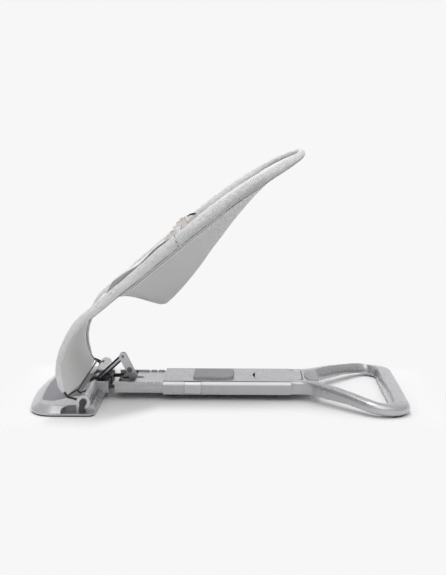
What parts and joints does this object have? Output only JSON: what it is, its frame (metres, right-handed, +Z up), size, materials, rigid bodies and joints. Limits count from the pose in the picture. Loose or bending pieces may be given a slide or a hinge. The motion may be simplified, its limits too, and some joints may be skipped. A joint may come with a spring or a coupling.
{
  "type": "baby bouncer seat",
  "caption": "Folding baby bouncer seat: a padded fabric sling on a wire hoop, hinged at the front foot of a telescopic metal base that ends in a wide carrying loop.",
  "frame": {"origin": "centre of the bounding box at floor level", "axes": "+X along the base from the front foot to the carrying loop, +Y across the seat, +Z up"},
  "size_m": [0.784, 0.4306, 0.5406],
  "materials": {
    "shell_metal": "satin",
    "light_metal": "satin",
    "steel": "satin",
    "dark_steel": "satin",
    "dark_plastic": "matte",
    "grey_plastic": "matte",
    "bearing_plastic": "satin",
    "pad_rubber": "matte",
    "black_rubber": "matte",
    "sling_cloth": "woven",
    "edge_cloth": "ribbed",
    "bib_cloth": "woven",
    "buckle_plastic": "matte"
  },
  "bodies": {
    "rear_base": {"rear_body_shell": "shell_metal", "rear_bottom_plate": "grey_plastic", "rear_loop": "shell_metal", "loop_pads": "black_rubber", "pad_springs": "steel", "lever_pin": "steel", "lever_bracket": "dark_plastic", "grip_insert": "grey_plastic", "latch_bridge": "dark_plastic", "beam_feet": "black_rubber", "body_screws": "steel"},
    "release_button": {"release_pad": "pad_rubber"},
    "near_side_button": {"side_button_near": "light_metal"},
    "far_side_button": {"side_button_far": "light_metal"},
    "deck_lever": {"lever_plate": "shell_metal"},
    "front_base": {"foot_shell": "shell_metal", "hub_barrel": "shell_metal", "foot_bottom_plate": "grey_plastic", "foot_sole": "black_rubber", "foot_inset": "pad_rubber", "recess_liners": "dark_plastic", "slot_liners": "dark_plastic", "hub_bushes": "bearing_plastic", "pivot_clip_near": "dark_plastic", "pivot_clip_far": "dark_plastic", "neck_channel": "shell_metal", "guide_rails": "dark_plastic", "channel_ramps": "dark_plastic", "inner_tube": "shell_metal", "foot_screws": "steel"},
    "seat_frame": {"hub_shaft": "steel", "hub_disc_near": "light_metal", "hub_disc_far": "light_metal", "crank_bars": "dark_steel", "crank_web": "light_metal", "apex_pin": "steel", "hoop_wire": "steel", "cross_wire": "dark_steel", "rim_sleeve": "edge_cloth", "seat_sling": "sling_cloth", "leg_panel": "sling_cloth", "harness_bib": "bib_cloth", "buckle_near": "buckle_plastic", "buckle_far": "buckle_plastic", "buckle_tongues": "buckle_plastic"},
    "near_buckle_button": {"buckle_button_near": "buckle_plastic"},
    "far_buckle_button": {"buckle_button_far": "buckle_plastic"},
    "fold_link": {"link_plates": "light_metal", "link_rivet": "steel", "carriage_pin": "steel"},
    "fold_carriage": {"carriage_block": "dark_plastic", "carriage_cover": "light_metal"}
  },
  "joints": [
    {"name": "base_extension", "type": "slide", "parent": "rear_base", "child": "front_base", "axis": [1, 0, 0], "range_m": [0, 0.034]},
    {"name": "seat_recline", "type": "hinge", "parent": "front_base", "child": "seat_frame", "pos_m": [-0.281, 0, 0.027], "axis": [0, 1, 0], "range_deg": [0, 40]},
    {"name": "link_pivot", "type": "hinge", "parent": "seat_frame", "child": "fold_link", "pos_m": [-0.21944, 0, 0.084], "axis": [0, 1, 0], "range_deg": [-103.47, 0]},
    {"name": "carriage_pivot", "type": "hinge", "parent": "fold_link", "child": "fold_carriage", "pos_m": [-0.19307, 0, 0.031], "axis": [0, 1, 0], "range_deg": [0, 63.47]},
    {"name": "release_press", "type": "slide", "parent": "rear_base", "child": "release_button", "axis": [0, 0, -1], "range_m": [0, 0.003], "stiffness_N_per_m": 900, "springref_m": -0.002, "deforming": ["pad_springs"]},
    {"name": "button_near_press", "type": "slide", "parent": "rear_base", "child": "near_side_button", "axis": [0, 1, 0], "range_m": [0, 0.0025], "stiffness_N_per_m": 600, "springref_m": -0.002},
    {"name": "button_far_press", "type": "slide", "parent": "rear_base", "child": "far_side_button", "axis": [0, -1, 0], "range_m": [0, 0.0025], "stiffness_N_per_m": 600, "springref_m": -0.002},
    {"name": "lever_lift", "type": "hinge", "parent": "rear_base", "child": "deck_lever", "pos_m": [0.172, 0, 0.0396], "axis": [0, 1, 0], "range_deg": [0, 16]},
    {"name": "buckle_near_press", "type": "slide", "parent": "seat_frame", "child": "near_buckle_button", "axis": [0.5962, 0, -0.8028], "range_m": [0, 0.0015], "stiffness_N_per_m": 300, "springref_m": -0.002},
    {"name": "buckle_far_press", "type": "slide", "parent": "seat_frame", "child": "far_buckle_button", "axis": [0.5962, 0, -0.8028], "range_m": [0, 0.0015], "stiffness_N_per_m": 300, "springref_m": -0.002}
  ],
  "couplings": [
    {"joint": "link_pivot", "follows": "seat_recline", "ratio": -2.5865},
    {"joint": "carriage_pivot", "follows": "seat_recline", "ratio": 1.5865}
  ]
}
